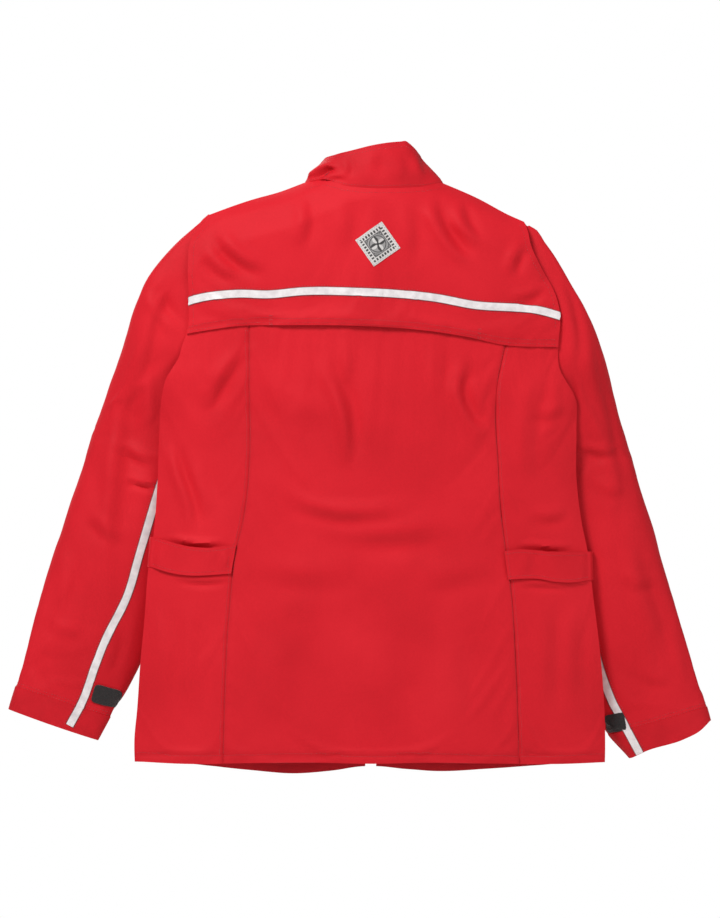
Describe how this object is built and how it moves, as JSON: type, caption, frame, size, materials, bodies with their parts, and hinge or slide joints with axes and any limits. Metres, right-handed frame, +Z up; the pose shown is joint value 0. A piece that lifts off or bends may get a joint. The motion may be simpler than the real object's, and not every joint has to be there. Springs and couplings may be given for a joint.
{
  "type": "foul weather jacket",
  "caption": "Hip-length foul weather jacket with a vented back yoke, stand collar, front zip under a snapped storm flap, patch pockets, waist tabs and taped sleeves.",
  "frame": {"origin": "under the crown of the hang loop inside the back of the neck, where a hook carries the jacket", "axes": "+Z up, the back of the jacket faces -Y and its front faces +Y, the wearer's left is at -X"},
  "size_m": [0.9227, 0.1199, 0.815],
  "materials": {
    "shell_cloth": "satin",
    "lining_cloth": "matte",
    "reflective_tape": "satin",
    "vent_mesh": "matte",
    "loop_pile": "matte",
    "woven_label": "matte",
    "zip_tape": "matte",
    "zip_plastic": "satin",
    "snap_metal": "satin"
  },
  "bodies": {
    "torso": {"back_yoke": "shell_cloth", "back_center_panel": "shell_cloth", "back_side_panel_left": "shell_cloth", "back_side_panel_right": "shell_cloth", "yoke_vent_mesh": "vent_mesh", "back_reflective_tape": "reflective_tape", "label_patch": "woven_label", "hem_facing_back": "shell_cloth", "lining_back": "lining_cloth", "lining_front_left": "lining_cloth", "lining_front_right": "lining_cloth", "front_panel_left": "shell_cloth", "front_panel_right": "shell_cloth", "front_yoke_left": "shell_cloth", "front_yoke_right": "shell_cloth", "front_reflective_tape_left": "reflective_tape", "front_reflective_tape_right": "reflective_tape", "pocket_left": "shell_cloth", "pocket_right": "shell_cloth", "zip_tape_left": "zip_tape", "zip_tape_right": "zip_tape", "zip_teeth_left": "zip_plastic", "zip_teeth_right": "zip_plastic", "zip_retainer_box": "zip_plastic", "snap_socket_1": "snap_metal", "snap_socket_2": "snap_metal", "snap_socket_3": "snap_metal", "snap_socket_4": "snap_metal", "collar": "shell_cloth", "collar_lining": "lining_cloth", "hang_loop": "zip_tape"},
    "upper_arm_left": {"sleeve_upper_left": "shell_cloth", "sleeve_tape_upper_left": "reflective_tape"},
    "upper_arm_right": {"sleeve_upper_right": "shell_cloth", "sleeve_tape_upper_right": "reflective_tape"},
    "forearm_left": {"sleeve_lower_left": "shell_cloth", "sleeve_tape_lower_left": "reflective_tape", "cuff_left": "shell_cloth", "cuff_loop_patch_left": "loop_pile"},
    "forearm_right": {"sleeve_lower_right": "shell_cloth", "sleeve_tape_lower_right": "reflective_tape", "cuff_right": "shell_cloth", "cuff_loop_patch_right": "loop_pile"},
    "cuff_strap_left": {"cuff_tab_left": "shell_cloth"},
    "cuff_strap_right": {"cuff_tab_right": "shell_cloth"},
    "waist_strap_left": {"waist_tab_left": "shell_cloth"},
    "waist_strap_right": {"waist_tab_right": "shell_cloth"},
    "flap": {"storm_flap": "shell_cloth", "snap_cap_1": "snap_metal", "snap_cap_2": "snap_metal", "snap_cap_3": "snap_metal", "snap_cap_4": "snap_metal"},
    "pocket_lid_left": {"pocket_flap_left": "shell_cloth"},
    "pocket_lid_right": {"pocket_flap_right": "shell_cloth"},
    "slider": {"zip_slider": "zip_plastic"},
    "puller": {"zip_puller": "snap_metal"}
  },
  "joints": [
    {"name": "shoulder_left", "type": "hinge", "parent": "torso", "child": "upper_arm_left", "pos_m": [-0.25, 0.0218, -0.1871], "axis": [0, 1, 0], "range_deg": [0, 60]},
    {"name": "shoulder_right", "type": "hinge", "parent": "torso", "child": "upper_arm_right", "pos_m": [0.242, 0.0218, -0.2041], "axis": [0, -1, 0], "range_deg": [0, 60]},
    {"name": "elbow_left", "type": "hinge", "parent": "upper_arm_left", "child": "forearm_left", "pos_m": [-0.33101, 0.0668, -0.43941], "axis": [0.9521, 0, -0.3057], "range_deg": [0, 80]},
    {"name": "elbow_right", "type": "hinge", "parent": "upper_arm_right", "child": "forearm_right", "pos_m": [0.3146, 0.0668, -0.45896], "axis": [0.9617, 0, 0.274], "range_deg": [0, 80]},
    {"name": "cuff_strap_left_peel", "type": "hinge", "parent": "forearm_left", "child": "cuff_strap_left", "pos_m": [-0.4476, 0.073, -0.6814], "axis": [0.3057, 0, 0.9521], "range_deg": [0, 110]},
    {"name": "cuff_strap_right_peel", "type": "hinge", "parent": "forearm_right", "child": "cuff_strap_right", "pos_m": [0.4231, 0.073, -0.7047], "axis": [0.274, 0, -0.9617], "range_deg": [0, 110]},
    {"name": "waist_strap_left_lift", "type": "hinge", "parent": "torso", "child": "waist_strap_left", "pos_m": [-0.1787, -0.0054, -0.492], "axis": [0, 0, 1], "range_deg": [0, 100]},
    {"name": "waist_strap_right_lift", "type": "hinge", "parent": "torso", "child": "waist_strap_right", "pos_m": [0.1707, -0.0054, -0.492], "axis": [0, 0, -1], "range_deg": [0, 100]},
    {"name": "storm_flap_open", "type": "hinge", "parent": "torso", "child": "flap", "pos_m": [0.024, 0.0714, -0.4], "axis": [0, 0, -1], "range_deg": [0, 120]},
    {"name": "pocket_lid_left_lift", "type": "hinge", "parent": "torso", "child": "pocket_lid_left", "pos_m": [-0.164, 0.0671, -0.5291], "axis": [0.9844, 0.176, 0], "range_deg": [0, 100]},
    {"name": "pocket_lid_right_lift", "type": "hinge", "parent": "torso", "child": "pocket_lid_right", "pos_m": [0.156, 0.0671, -0.5291], "axis": [0.9844, -0.176, 0], "range_deg": [0, 100]},
    {"name": "zip_travel", "type": "slide", "parent": "torso", "child": "slider", "axis": [0, 0, -1], "range_m": [0, 0.72]},
    {"name": "zip_puller_swing", "type": "hinge", "parent": "slider", "child": "puller", "pos_m": [-0.004, 0.0721, -0.0071], "axis": [1, 0, 0], "range_deg": [0, 90]}
  ]
}
